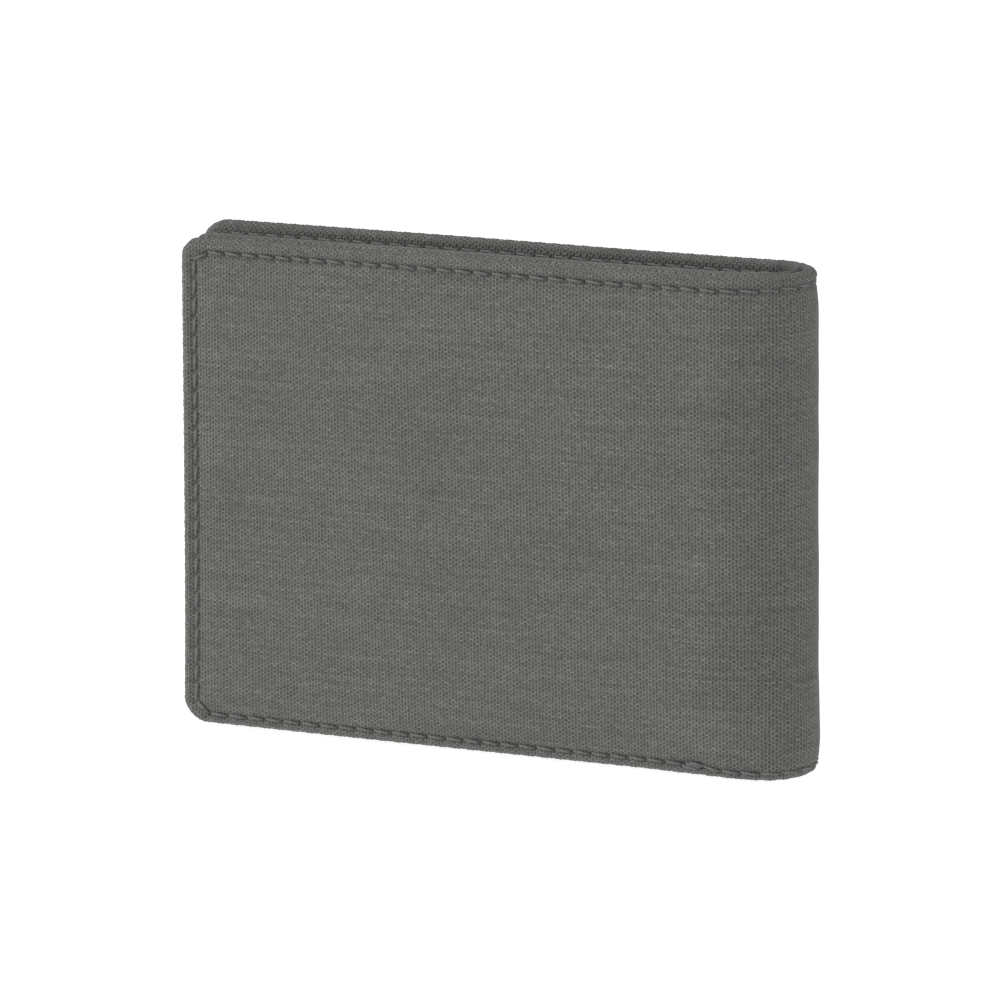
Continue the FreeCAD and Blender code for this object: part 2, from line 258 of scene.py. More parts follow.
def rounded(box, inset, step, radii, opened):
    """An outline anticlockwise from the top left: points, outward normals and which are on a real edge.

    box is low and high along each way, radii the corners' radii from the top left anticlockwise, and
    opened names the sides, left or right, where the piece is cut and not finished.
    """
    x0, x1, z0, z1 = box
    left = x0 if "left" in opened else x0 + inset
    right = x1 if "right" in opened else x1 - inset
    low, high = z0 + inset, z1 - inset
    corners = ((left, high, 1, -1, 90), (left, low, 1, 1, 180), (right, low, -1, 1, 270),
               (right, high, -1, -1, 0))
    points, normals, real = [], [], []
    for number, (x, z, to_x, to_z, start) in enumerate(corners):
        radius = max(radii[number] - inset, 0)
        count = max(int(radius * 1.57 / step), 3) if radius > 0.05 else 1
        turns = np.linspace(start, start + 90, count)
        if count == 1:
            turns = [start if number in (0, 2) else start + 90]
        for turn in turns:
            way = np.array([math.cos(math.radians(turn)), math.sin(math.radians(turn))])
            points.append((x + to_x * radius + radius * way[0], z + to_z * radius + radius * way[1]))
            normals.append(way)
            real.append(True)
        after = corners[(number + 1) % 4]
        radius_after = max(radii[(number + 1) % 4] - inset, 0)
        begin = np.array(points[-1])
        end = np.array([after[0] + after[2] * radius_after * (number % 2),
                        after[1] + after[3] * radius_after * (1 - number % 2)])
        cut = (number == 0 and "left" in opened) or (number == 2 and "right" in opened)
        way = np.array([(-1, 0), (0, -1), (1, 0), (0, 1)][number])
        runs = rows_between(begin, end) if cut else max(int(np.linalg.norm(end - begin) / step), 1)
        shares = np.linspace(0, 1, runs + 1)[1:-1] if isinstance(runs, int) else runs
        for share in shares:
            points.append(tuple(begin + (end - begin) * share))
            normals.append(way)
            real.append(not cut)
    return np.array(points), np.array(normals, float), np.array(real)


def rows(low, high):
    """Heights of the rows of a piece: close near both edges, wide between."""
    if high - low < 12:
        return list(np.linspace(low, high, int((high - low) / 0.45) + 2))
    near = list(np.arange(low, low + 3.4, 0.32))
    middle = list(np.linspace(low + 3.6, high - 3.6, int((high - low) / 1.1)))
    return near + middle + [low + high - z for z in reversed(near)]


def rows_between(begin, end):
    """Shares of the way along a cut side where the rows meet it."""
    levels = np.array(rows(min(begin[1], end[1]), max(begin[1], end[1])))
    return sorted(abs(levels[1:-1] - begin[1]) / abs(end[1] - begin[1]))


def fill(box, radii, opened, edge, insets, step, wide):
    """Points inside an outline: rings at the given insets, then a wide grid."""
    found = []
    for inset in insets:
        points, _, real = rounded(box, edge + inset, step, radii, opened)
        found.append(points[real])
    last = edge + (insets[-1] if insets else 0)
    x0 = box[0] + (0.5 * wide if "left" in opened else last + 0.8 * wide)
    x1 = box[1] - (0.5 * wide if "right" in opened else last + 0.8 * wide)
    z0, z1 = box[2] + last + 0.8 * wide, box[3] - last - 0.8 * wide
    if x1 > x0 and z1 > z0:
        xs = np.linspace(x0, x1, max(int((x1 - x0) / wide), 1) + 1)
        zs = np.linspace(z0, z1, max(int((z1 - z0) / (0.87 * wide)), 1) + 1)
        shift = 0.25 * wide if len(xs) > 1 else 0
        for number, z in enumerate(zs):
            found.append(np.stack([xs + (shift if number % 2 else -shift), np.full(len(xs), z)], axis=1))
    return np.concatenate(found) if found else np.zeros((0, 2))


def triangulate(loop, inner):
    """Triangles over the loop and the inner points, as indices into both together."""
    points = [Vector(p) for p in np.concatenate([loop, inner])]
    count = len(loop)
    edges = [(number, (number + 1) % count) for number in range(count)]
    _, _, faces, origins, _, _ = delaunay_2d_cdt(points, edges, [], 1, 1e-5)
    return [tuple(origins[v][0] for v in face) for face in faces]


def make_object(name, points, faces, corner_uvs, material, smooth_angle=50, shade=None):
    """A mesh object from points in millimetres, with the sheet's own measure as its UV map.

    shade is the painted shade at each point, which darkens its colour near seams and stitch ends, from 0 to
    1.
    """
    mesh = bpy.data.meshes.new(name)
    mesh.from_pydata((np.asarray(points) * MM).tolist(), [], faces)
    layer = mesh.uv_layers.new(name="sheet")
    layer.data.foreach_set("uv", (np.asarray(corner_uvs, np.float32) * MM).ravel())
    edit = bmesh.new()
    edit.from_mesh(mesh)
    bmesh.ops.recalc_face_normals(edit, faces=edit.faces)
    edit.to_mesh(mesh)
    edit.free()
    # painted shade stored as a point attribute for the materials
    if shade is not None:
        values = mesh.attributes.new("shade", "FLOAT", "POINT").data
        values.foreach_set("value", np.asarray(shade, np.float32))
    mesh.shade_smooth()
    mesh.set_sharp_from_angle(angle=math.radians(smooth_angle))
    mesh.materials.append(material)
    piece = bpy.data.objects.new(name, mesh)
    bpy.context.scene.collection.objects.link(piece)
    return piece


def slab(name, material, box, put, front, back, edge, radii, opened=(), insets=(), step=0.5,
         wide=2.0, uv_shift=(0, 0), back_wide=4.0, turns=8, shades=None,
         bumps=None):
    """A closed sheet piece with rounded edges.

    put turns (x, z, w) into space; front and back give the depth of each face; edge is how far the
    rounded rim reaches beyond the flat faces.
    """
    loop, normals, real = rounded(box, edge, step, radii, opened)
    inner = fill(box, radii, opened, edge, insets, step, wide)
    behind = fill(box, radii, opened, edge, insets[1::2], 1.5 * step, back_wide)
    reach = np.where(real, edge, 0.0)
    rough = bumps(*loop.T) if bumps else 0.0
    count = len(loop)
    front_flat = np.concatenate([loop, inner])
    back_flat = np.concatenate([loop, behind])
    front_w, back_w = front(*front_flat.T), back(*back_flat.T)
    points = [put(front_flat[:, 0], front_flat[:, 1], front_w)]
    middle = (front_w[:count] + back_w[:count]) / 2
    half = (back_w[:count] - front_w[:count]) / 2
    rings = [np.arange(count)]
    uv_rings = [loop]
    total = len(front_flat)
    for turn in np.linspace(0, math.pi, turns + 1)[1:-1]:
        flat = loop + normals * ((reach + rough * real) * math.sin(turn))[:, None]
        points.append(put(flat[:, 0], flat[:, 1], middle - half * math.cos(turn)))
        rings.append(np.arange(count) + total)
        uv_rings.append(loop + normals * (reach * turn)[:, None])
        total += count
    points.append(put(back_flat[:, 0], back_flat[:, 1], back_w))
    rings.append(np.arange(count) + total)
    uv_rings.append(loop + normals * (reach * math.pi)[:, None])
    faces = triangulate(loop, inner)
    uvs = [front_flat[v] for face in faces for v in face]
    for ring in range(turns):
        for number in range(count):
            after = (number + 1) % count
            round_face = ((ring, number), (ring + 1, number), (ring + 1, after), (ring, after))
            faces.append(tuple(rings[a][b] for a, b in round_face))
            uvs += [uv_rings[a][b] for a, b in round_face]
    for face in triangulate(loop, behind):
        faces.append(tuple(int(v + total) for v in reversed(face)))
        uvs += [back_flat[v] + 200.0 for v in reversed(face)]
    faces = [tuple(int(v) for v in face) for face in faces]
    # painted shade for the front and back faces, from the shades functions
    dark = None
    if shades is not None:
        dark = np.zeros(total + len(back_flat))
        dark[:len(front_flat)] = shades[0](*front_flat.T)
        dark[total:] = shades[1](*back_flat.T)
    return make_object(name, np.concatenate(points), faces, np.array(uvs) + uv_shift, material, shade=dark)


# ---------------------------------------------------------------- stitches

def seam_legs():
    """Lengths of the front half's seam: top, upper corner, free edge, lower corner, bottom."""
    return (FLAT - TOP_CORNER, (TOP_CORNER - SIDE_INSET) * math.pi / 2, HEIGHT - TOP_CORNER - CORNER,
            (CORNER - SIDE_INSET) * math.pi / 2, FLAT - CORNER)


def seam_line(share):
    """Place on the sheet along the front half's seam, from the spine's top round the free edge."""
    legs = seam_legs()
    left = share * sum(legs)
    leg = 0
    while leg < 4 and left > legs[leg]:
        left -= legs[leg]
        leg += 1
    if leg == 0:
        return FLAT - left, HEIGHT - TOP_INSET
    if leg == 2:
        return SIDE_INSET, HEIGHT - TOP_CORNER - left
    if leg == 4:
        return CORNER + left, float(seam_inset(CORNER + left, 0))
    angle = left / legs[leg] * math.pi / 2
    if leg == 1:
        return (TOP_CORNER - (TOP_CORNER - SIDE_INSET) * math.sin(angle),
                HEIGHT - TOP_CORNER + (TOP_CORNER - TOP_INSET) * math.cos(angle))
    return (CORNER - (CORNER - SIDE_INSET) * math.cos(angle),
            CORNER - (CORNER - BOTTOM_INSET) * math.sin(angle))


def half_holes():
    """Needle holes of the front half's seam, as places on the sheet."""
    count = round(sum(seam_legs()) / PITCH)
    return [seam_line(number / count) for number in range(count + 1)]


def spine_holes():
    """Needle holes round the spine, top row and bottom row."""
    count = round(TURN / PITCH)
    places = [FLAT + TURN * number / count for number in range(count + 1)]
    return [(s, HEIGHT - TOP_INSET) for s in places], [(s, float(seam_inset(s, 0))) for s in places]


def mirrored(holes):
    return [(SHEET - s, z) for s, z in holes]


def stitch_points(start, end, depth, proud, steps=17):
    """Centre line of one stitch from its high end to the end that dives, on the sheet and in depth."""
    start, end = np.array(start), np.array(end)
    way = end - start
    across = np.array([-way[1], way[0]]) / max(np.linalg.norm(way), 1e-6)
    lift = 0.2 if across[1] >= 0 else -0.2
    t = np.linspace(0, 1, steps)
    t = t + 0.012 * np.sin(9 * t) * (t > 0) * (t < 1)
    sideways = lift * (1 - 2 * t) + 0.06 * np.sin(3.1 * t)
    flat = start + np.outer(0.02 + 0.93 * t, way) + np.outer(sideways, across)
    level = np.quantile(depth(flat[:, 0], flat[:, 1]), 0.3)
    rise = smooth(t, 0, 0.16) * (1 - 0.8 * smooth(t, 0.55, 1))
    return flat, level - proud * rise + 0.5 * (1 - smooth(t, 0, 0.09)) + 0.75 * smooth(t, 0.78, 1), t


def tube(centres, t, thickness=THREAD, sides=10):
    """Rings of a two ply thread round a line of points, with how far along the stitch each one is."""
    ways = np.gradient(centres, axis=0)
    ways /= np.maximum(np.linalg.norm(ways, axis=1), 1e-9)[:, None]
    hint = np.array([0.31, -0.9, 0.29])
    first = np.cross(ways, hint)
    first /= np.linalg.norm(first, axis=1)[:, None]
    second = np.cross(ways, first)
    angles = np.linspace(0, 2 * math.pi, sides, endpoint=False)
    ply = 1 + 0.13 * np.cos(2 * (angles[None, :] - 9.0 * t[:, None]))
    size = thickness * ply * (0.55 + 0.45 * smooth(np.minimum(t, 1 - t), -0.02, 0.12))[:, None]
    cosines, sines = np.cos(angles)[None, :, None], np.sin(angles)[None, :, None]
    rings = centres[:, None, :] + size[..., None] * (cosines * first[:, None, :] + sines * second[:, None, :])
    return rings, t


def thread_piece(name, stitches, material):
    """One object from many stitches; each is painted darker towards the end that dives and a little at its
    start, as painted shade.
    """
    points, faces, uvs, dark = [], [], [], []
    base = 0
    for number, (rings, t) in enumerate(stitches):
        steps, sides, _ = rings.shape
        points.append(rings.reshape(-1, 3))
        # painted shade on the thread: dark towards the diving end and at the very start of each stitch
        dark.append(np.repeat(0.75 * smooth(t, 0.35, 1.0) + 0.35 * (1 - smooth(t, 0, 0.07)), sides))
        for i in range(steps - 1):
            for k in range(sides):
                after = (k + 1) % sides
                faces.append((base + i * sides + k, base + i * sides + after,
                              base + (i + 1) * sides + after, base + (i + 1) * sides + k))
                low, high = (number * 7 + i * 0.22, k * 0.12), (number * 7 + (i + 1) * 0.22, (k + 1) * 0.12)
                uvs += [low, (low[0], high[1]), high, (high[0], low[1])]
        for i in (0, steps - 1):
            faces.append(tuple(base + i * sides + k for k in range(sides)))
            uvs += [(number * 7, k * 0.12) for k in range(sides)]
        base += steps * sides
    shade = np.clip(np.concatenate(dark), 0, 1)
    return make_object(name, np.concatenate(points), faces, uvs, material, 80, shade)


def high_end_first(a, b):
    """A stitch's high end is towards the free front edge, or upwards on an upright run."""
    if abs(a[0] - b[0]) > abs(a[1] - b[1]):
        return (a, b) if a[0] < b[0] else (b, a)
    return (a, b) if a[1] > b[1] else (b, a)


def shaded_places(holes):
    """Where the fabric is pulled down beside the diving end of each stitch, which is also where painted shade
    darkens it.
    """
    found = []
    for a, b in zip(holes, holes[1:]):
        high, low = (np.array(place_on) for place_on in high_end_first(a, b))
        found += [tuple(high + (low - high) * share) for share in (0.62, 0.8)]
    return found


# ---------------------------------------------------------------- materials

class Nodes:
    """A short way to write a shader."""

    def __init__(self, name):
        self.material = bpy.data.materials.new(name)
        self.material.use_nodes = True
        self.tree = self.material.node_tree
        self.shader = self.tree.nodes["Principled BSDF"]

    def add(self, kind, **settings):
        node = self.tree.nodes.new(kind)
        for key, value in settings.items():
            setattr(node, key, value)
        return node

    def plug(self, socket, value):
        if isinstance(value, bpy.types.NodeSocket):
            self.tree.links.new(value, socket)
        else:
            socket.default_value = value

    def math(self, operation, *values, clamp=False):
        node = self.add("ShaderNodeMath", operation=operation, use_clamp=clamp)
        for socket, value in zip(node.inputs, values):
            self.plug(socket, value)
        return node.outputs[0]

    def blend(self, share, low, high):
        """Between two colours."""
        node = self.add("ShaderNodeMix", data_type="RGBA")
        for socket, value in zip((node.inputs[0], node.inputs[6], node.inputs[7]), (share, low, high)):
            self.plug(socket, value)
        return node.outputs[2]

    def scaled(self, x, y, by_x, by_y, z=0.0):
        """A vector of two values, each times a number."""
        return self.combine(self.math("MULTIPLY", x, by_x), self.math("MULTIPLY", y, by_y), z)

    def combine(self, x, y, z=0.0):
        node = self.add("ShaderNodeCombineXYZ")
        for socket, value in zip(node.inputs, (x, y, z)):
            self.plug(socket, value)
        return node.outputs[0]

    def noise(self, vector, scale=1.0, detail=2.0, roughness=0.5):
        node = self.add("ShaderNodeTexNoise")
        self.plug(node.inputs["Vector"], vector)
        for key, value in (("Scale", scale), ("Detail", detail), ("Roughness", roughness)):
            node.inputs[key].default_value = value
        return node.outputs["Fac"]

    def sheet_mm(self):
        """The place on the sheet in millimetres, as two numbers."""
        split = self.add("ShaderNodeSeparateXYZ")
        self.plug(split.inputs[0], self.add("ShaderNodeUVMap", uv_map="sheet").outputs[0])
        return tuple(self.math("MULTIPLY", split.outputs[way], 1000.0) for way in range(2))

    def bump(self, height, distance, strength=1.0):
        node = self.add("ShaderNodeBump")
        node.inputs["Distance"].default_value = distance
        node.inputs["Strength"].default_value = strength
        self.plug(node.inputs["Height"], height)
        self.plug(self.shader.inputs["Normal"], node.outputs[0])

    def fixed(self, **values):
        for key, value in values.items():
            self.shader.inputs[key.replace("_", " ")].default_value = value


def woven(name, pitch, light, dark, streak, depth, fuzz=1.6, roughness=0.85, sheen=0.15):
    """Plain weave: dark spots where the warp comes up, light lines between the warps, uneven yarns."""
    g = Nodes(name)
    u, v = g.sheet_mm()
    drift_x = g.math("SUBTRACT", g.noise(g.combine(u, v), 0.45, 2.0), 0.5)
    drift_y = g.math("SUBTRACT", g.noise(g.combine(v, u, 4.0), 0.45, 2.0), 0.5)
    x = g.math("MULTIPLY_ADD", drift_x, 0.6, g.math("DIVIDE", u, pitch[0]))
    y = g.math("MULTIPLY_ADD", drift_y, 0.6, g.math("DIVIDE", v, pitch[1]))
    column, row = g.math("FLOOR", x), g.math("FLOOR", y)
    spots = g.math("MULTIPLY", g.math("SINE", g.math("MULTIPLY", x, math.pi)),
                   g.math("SINE", g.math("MULTIPLY", y, math.pi)))
    between_warps = g.math("COSINE", g.math("MULTIPLY", x, 2 * math.pi))
    between_wefts = g.math("COSINE", g.math("MULTIPLY", y, 2 * math.pi))
    weave = g.math("MULTIPLY_ADD", spots, -0.35, g.math("MULTIPLY", between_warps, 0.24))
    weave = g.math("MULTIPLY_ADD", between_wefts, -0.14, weave)
    weft_tone = g.noise(g.scaled(u, row, 1 / 22, 0.83, 3.1), 1.0, 3.0, 0.6)
    warp_tone = g.noise(g.scaled(column, v, 0.83, 1 / 9, 8.7), 1.0, 2.0, 0.6)
    cell_tone = g.noise(g.scaled(column, row, 1.3, 1.3, 2.2), 1.0, 1.0)
    band = g.noise(g.scaled(u, v, 1 / 28, 1 / 2.6, 1.7), 1.0, 3.0, 0.6)
    cloud = g.noise(g.combine(u, v, 1.7), 0.06, 2.0)
    speck = g.noise(g.scaled(u, v, 4.4, 4.4), 1.0, 2.0, 0.7)
    tone = weave
    for part, amount in ((weft_tone, streak), (warp_tone, 0.15 * streak), (band, 0.3 * streak),
                         (cell_tone, 1.1), (cloud, 0.06), (speck, fuzz)):
        tone = g.math("MULTIPLY_ADD", g.math("SUBTRACT", part, 0.5), amount, tone)
    tone = g.math("MULTIPLY", g.math("EXPONENT", tone), 0.46)
    # painted shade: the shade attribute darkens the weave's colour near seams, needle holes and stitch ends
    shade = g.add("ShaderNodeAttribute", attribute_name="shade").outputs["Fac"]
    tone = g.math("MULTIPLY", tone, g.math("MULTIPLY_ADD", shade, -0.6, 1.0), clamp=True)
    g.plug(g.shader.inputs["Base Color"], g.blend(tone, (*dark, 1), (*light, 1)))
    g.bump(g.math("MULTIPLY_ADD", weave, 0.9, g.math("MULTIPLY", speck, 0.15)), depth)
    g.fixed(Roughness=roughness, Specular_IOR_Level=0.25, Sheen_Weight=sheen, Sheen_Roughness=0.5)
    return g.material


def twisted(name, light, dark):
    """Sewing thread: fine plies along the stitch."""
    g = Nodes(name)
    u, v = g.sheet_mm()
    slant = g.math("ADD", g.math("MULTIPLY", u, 1.6), g.math("MULTIPLY", v, 2.6))
    ply = g.math("SINE", g.math("MULTIPLY", slant, 8.0))
    fibre = g.noise(g.scaled(u, v, 4.0, 16.0), 1.0, 2.0)
    tone = g.math("MULTIPLY_ADD", ply, 0.16, g.math("MULTIPLY", fibre, 0.9), clamp=True)
    # painted shade: the shade attribute darkens the thread towards the end that dives
    shade = g.add("ShaderNodeAttribute", attribute_name="shade").outputs["Fac"]
    tone = g.math("MULTIPLY", tone, g.math("MULTIPLY_ADD", shade, -0.5, 1.0))
    g.plug(g.shader.inputs["Base Color"], g.blend(tone, (*dark, 1), (*light, 1)))
    g.bump(g.math("MULTIPLY_ADD", ply, 0.3, fibre), 0.00004)
    g.fixed(Roughness=0.6, Specular_IOR_Level=0.35, Sheen_Weight=0.2)
    return g.material


def vinyl(name):
    """Soft clear sheet with faint cloudiness."""
    g = Nodes(name)
    u, v = g.sheet_mm()
    cloud = g.noise(g.combine(u, v), 0.09, 3.0)
    g.plug(g.shader.inputs["Roughness"], g.math("MULTIPLY_ADD", cloud, 0.16, 0.06))
    g.bump(g.noise(g.combine(u, v), 0.05, 1.0), 0.0008, 0.6)
    g.plug(g.shader.inputs["Base Color"], g.blend(cloud, (0.34, 0.35, 0.35, 1), (0.42, 0.43, 0.43, 1)))
    g.fixed(IOR=1.5, Alpha=0.13)
    return g.material


YARNS = (0.595, 0.384)
LIGHT_GREY, NEAR_BLACK = (0.262, 0.2575, 0.2455), (0.004, 0.004, 0.004)
SHELL = woven("shell_weave", YARNS, LIGHT_GREY, NEAR_BLACK, 0.75, 0.00012)
POCKET = woven("pocket_weave", YARNS, LIGHT_GREY, NEAR_BLACK, 0.75, 0.00012)
LINING = woven("lining_weave", (0.26, 0.2), (0.08, 0.08, 0.083), (0.006, 0.006, 0.007), 0.5, 0.00003,
               fuzz=0.4, roughness=0.6, sheen=0.3)
STITCH = twisted("sewing_thread", (0.262, 0.252, 0.245), (0.06, 0.057, 0.055))
CLEAR = vinyl("clear_vinyl")


# ---------------------------------------------------------------- the cover

def side_place(side):
    """Place of a half's own coordinates: s from its free edge."""
    if side == "front":
        return place
    return lambda s, z, w: place(SHEET - s, z, w)


def on_side(side, field):
    return field if side == "front" else lambda s, z: field(SHEET - np.asarray(s), z)


def cover_half(side):
    """Padded fabric of one half, up to where the sheet starts to turn."""
    box = (0, FLAT, 0, HEIGHT)
    insets = list(np.arange(0.32, 3.4, 0.32))
    piece = slab(f"{side}_cover", SHELL, box, side_place(side), on_side(side, outer_depth),
                 on_side(side, inner_depth), NOSE, (TOP_CORNER, CORNER, 0, 0), opened=("right",),
                 insets=insets, step=0.32, wide=1.1, uv_shift=(0, 0) if side == "front" else (40, 0),
                 back_wide=3.0, shades=(on_side(side, painted_seam_shade), on_side(side, inner_seam_dent_and_painted_shade)),
                 bumps=on_side(side, yarn_bumps))
    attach(piece, f"{side}_half")
    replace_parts(piece, f"{side}_cover_fabric", f"{side}_cover_padding")

    area = (HEM + 0.3, FLAT, HEM + 0.3, HEIGHT - HEM - 0.3)
    lining = slab(f"{side}_lining", LINING, area, side_place(side), lambda s, z: LINING_FACE + 0 * s,
                  lambda s, z: LINING_BACK + 0.05 * waves(s, z), 0.12, (0.4, 0.4, 0, 0), opened=("right",),
                  step=1.5, wide=3.0, turns=4)
    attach(lining, f"{side}_half")
    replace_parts(lining, f"{side}_cover_lining")
    return lining


def strip_range(number):
    """Stretch of the sheet over fold number, counted from the back half."""
    end = SHEET - FLAT - RADIUS * STRIP * (number - 1)
    return end - RADIUS * STRIP, end


def bend(piece, first, last):
    """Bake a strip's transform and find how far its ends reach along the fold: first and last are the points
    at its ends, from the back half on.
    """
    way = (last.mean(axis=0) - first.mean(axis=0)) * (1, 1, 0)
    way = way / np.linalg.norm(way)
    centre = (first.mean(axis=0) + last.mean(axis=0)) / 2
    start, end = ((first - centre) @ way).max(), ((last - centre) @ way).min()
    trim = 0.01 * (end - start)
    start, end = (Vector((centre + way * reach) * MM) for reach in (start + trim, end - trim))
    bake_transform(piece)
    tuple(start)
    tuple(end)


def strip_grid(name, material, fold, front, back, edge, levels, columns, turns=8, shades=None, bumps=None):
    """A strip of the sheet over one fold, closed all round."""
    low_s, high_s = strip_range(fold)
    along, up = np.meshgrid(np.linspace(low_s, high_s, columns + 1), np.array(levels), indexing="ij")
    near, far = front(along, up), back(along, up)
    angles = np.linspace(0, math.pi, turns + 1)[1:-1]

    def rim(row, sign, order):
        rough = bumps(along[:, [row]], up[:, [row]]) if bumps else 0.0
        heights = up[:, [row]] + sign * (edge + rough) * np.sin(order)
        depths = (near[:, [row]] + far[:, [row]]) / 2 - (far[:, [row]] - near[:, [row]]) / 2 * np.cos(order)
        return heights, depths, up[:, [row]] + sign * edge * order

    top, bottom = rim(-1, 1, angles), rim(0, -1, angles[::-1])
    heights = np.concatenate([up, top[0], up[:, ::-1], bottom[0]], axis=1)
    depths = np.concatenate([near, top[1], far[:, ::-1], bottom[1]], axis=1)
    sewn = np.concatenate([up, top[2], up[:, ::-1] + 200.0, bottom[2]], axis=1)
    count = heights.shape[1]
    places = np.repeat(along[:, :1], count, axis=1)
    points = place(places, heights, depths).reshape(-1, 3)
    faces, uvs = [], []
    for i in range(columns):
        for k in range(count):
            after = (k + 1) % count
            faces.append((i * count + k, (i + 1) * count + k, (i + 1) * count + after, i * count + after))
            low, high = (sewn[i, k], sewn[i, after])
            if abs(low - high) > 50:
                low, high = min(low, high), min(low, high) + 0.3
            uvs += [(places[i, k], low), (places[i + 1, k], low), (places[i + 1, after], high),
                    (places[i, after], high)]
    number = len(levels)
    for i in (0, columns):
        base = i * count
        rungs = [(base + k, base + 2 * number + turns - 2 - k) for k in range(number)]
        for (a, b), (c, d) in zip(rungs, rungs[1:]):
            faces.append((a, c, d, b))
        faces.append(tuple(range(base + number - 1, base + number + turns)))
        faces.append((*range(base + 2 * number + turns - 2, base + count), base))
        for face in faces[-number - 1:]:
            uvs += [(places[i, 0], 0.0)] * len(face)
    # painted shade for the near and far faces, none on the rounded rims
    dark = None
    if shades is not None:
        blank = np.zeros((columns + 1, turns - 1))
        near_dark, far_dark = shades[0](along, up), shades[1](along, up)
        dark = np.concatenate([near_dark, blank, far_dark[:, ::-1], blank], axis=1).ravel()
    piece = make_object(name, points, faces, uvs, material, shade=dark)
    bend(piece, points[-count:], points[:count])
    return piece


def spine_strip(number):
    """Cover, lining, inner wall and stitches over one fold."""
    levels = rows(NOSE, HEIGHT - NOSE)
    cover = strip_grid(f"spine_cover_{number}", SHELL, number, outer_depth, inner_depth, NOSE, levels, 12,
                       shades=(painted_seam_shade, inner_seam_dent_and_painted_shade), bumps=yarn_bumps)
    lining_rows = list(np.linspace(HEM + 0.42, HEIGHT - HEM - 0.42, 30))
    lining = strip_grid(f"spine_lining_{number}_sheet", LINING, number, lambda s, z: LINING_FACE + 0 * s,
                        lambda s, z: LINING_BACK + 0 * s, 0.12, lining_rows, 8, turns=4)
    thread = strip_thread(number)
    slats = [slat for slat in (number - 1, number) if 1 <= slat < len(FOLDS)]
    for piece, kind, slot in ((cover, "fabric", "shell_fabric"), (lining, "lining", "lining_fabric"),
                              (thread, "thread", "sewing_thread")):
        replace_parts(piece, *[f"spine_{kind}_{slat}" for slat in slats])
    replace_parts(cover, *[f"spine_padding_{slat}" for slat in slats])
    return lining, wall_strip(number, slats)


def wall_strip(number, slats):
    """The inner wall and its thick hem over one fold."""
    levels = rows(PANEL_LOW + 0.15, WALL_TOP - 0.45)
    wall = strip_grid(f"spine_wall_{number}_sheet", POCKET, number, lambda s, z: BACKING + 0 * s,
                      lambda s, z: WALL_FACE + 0 * s, 0.15, levels, 8, turns=4)
    hem = strip_grid(f"spine_wall_{number}_hem", POCKET, number, hem_outside, hem_inside, HEM_NOSE,
                     rows(HEM_FOOT + HEM_NOSE, WALL_TOP - HEM_NOSE), 8)
    for piece in (wall, hem):
        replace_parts(piece, *[f"spine_wall_{slat}" for slat in slats])
    return wall


def strip_thread(number):
    """The parts of the spine's stitches that lie over one fold."""
    low_s, high_s = strip_range(number)
    found = []
    for holes in spine_holes():
        for a, b in zip(holes, holes[1:]):
            if b[0] <= low_s + 1e-6 or a[0] >= high_s - 1e-6:
                continue
            for depth, sign in ((outer_depth, 1), (inner_depth, -1)):
                rise = INNER_RISE if sign < 0 and a[1] > HEIGHT / 2 else 0.0
                ends = high_end_first((a[0], a[1] + rise), (b[0], b[1] + rise))
                flat, w, t = stitch_points(*ends, lambda s, z: sign * depth(s, z), SUNK, 33)
                inside = (flat[:, 0] >= low_s - 1e-6) & (flat[:, 0] <= high_s + 1e-6)
                cuts = [edge for edge in (low_s, high_s) if flat[0, 0] < edge < flat[-1, 0]]
                keys = np.concatenate([t[inside], np.interp(cuts, flat[:, 0], t)])
                keys = np.unique(np.round(keys, 6))
                line = np.stack([np.interp(keys, t, flat[:, 0]), np.interp(keys, t, flat[:, 1])], axis=1)
                if len(keys) > 1:
                    found.append(tube(place(line[:, 0], line[:, 1], np.interp(keys, t, sign * w)), keys))
    piece = thread_piece(f"spine_stitches_{number}", found, STITCH)
    z, w = np.meshgrid(np.linspace(0, HEIGHT, 9), (-0.3, RIM + 0.1))
    bend(piece, place(high_s, z, w).reshape(-1, 3), place(low_s, z, w).reshape(-1, 3))
    return piece


def cover_thread(side, holes):
    """Stitches of one half on its outer face, and on its hem along the top."""
    put = side_place(side)
    outer, inner = on_side(side, outer_depth), on_side(side, inner_depth)
    found = []
    for a, b in zip(holes, holes[1:]):
        ends = (a, b) if side == "front" else ((SHEET - a[0], a[1]), (SHEET - b[0], b[1]))
        high, low = high_end_first(*ends)
        if side == "back":
            high, low = ((SHEET - end[0], end[1]) for end in (high, low))
        faces = [(outer, 1), (inner, -1)] if min(a[1], b[1]) > HEIGHT - CORNER else [(outer, 1)]
        for depth, sign in faces:
            lifted = [(end[0], end[1] + (INNER_RISE if sign < 0 else 0)) for end in (high, low)]
            if sign < 0 and side == "back":
                lifted.reverse()
            flat, w, t = stitch_points(*lifted, lambda s, z: sign * depth(s, z), PROUD)
            found.append(tube(put(flat[:, 0], flat[:, 1], sign * w), t))
    for shift in (-0.35, 0.3, 0.0):
        start = (FLAT - TACK - 1.7 + 2 * shift, 1.95 + shift)
        flat, w, t = stitch_points(start, (start[0] + 3.2, start[1] - 0.15), outer, 0.4)
        found.append(tube(put(flat[:, 0], flat[:, 1], w), t, THREAD * 1.15))
    piece = thread_piece(f"{side}_cover_stitches", found, STITCH)
    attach(piece, f"{side}_half")
    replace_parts(piece, f"{side}_cover_thread")


# ---------------------------------------------------------------- the pockets

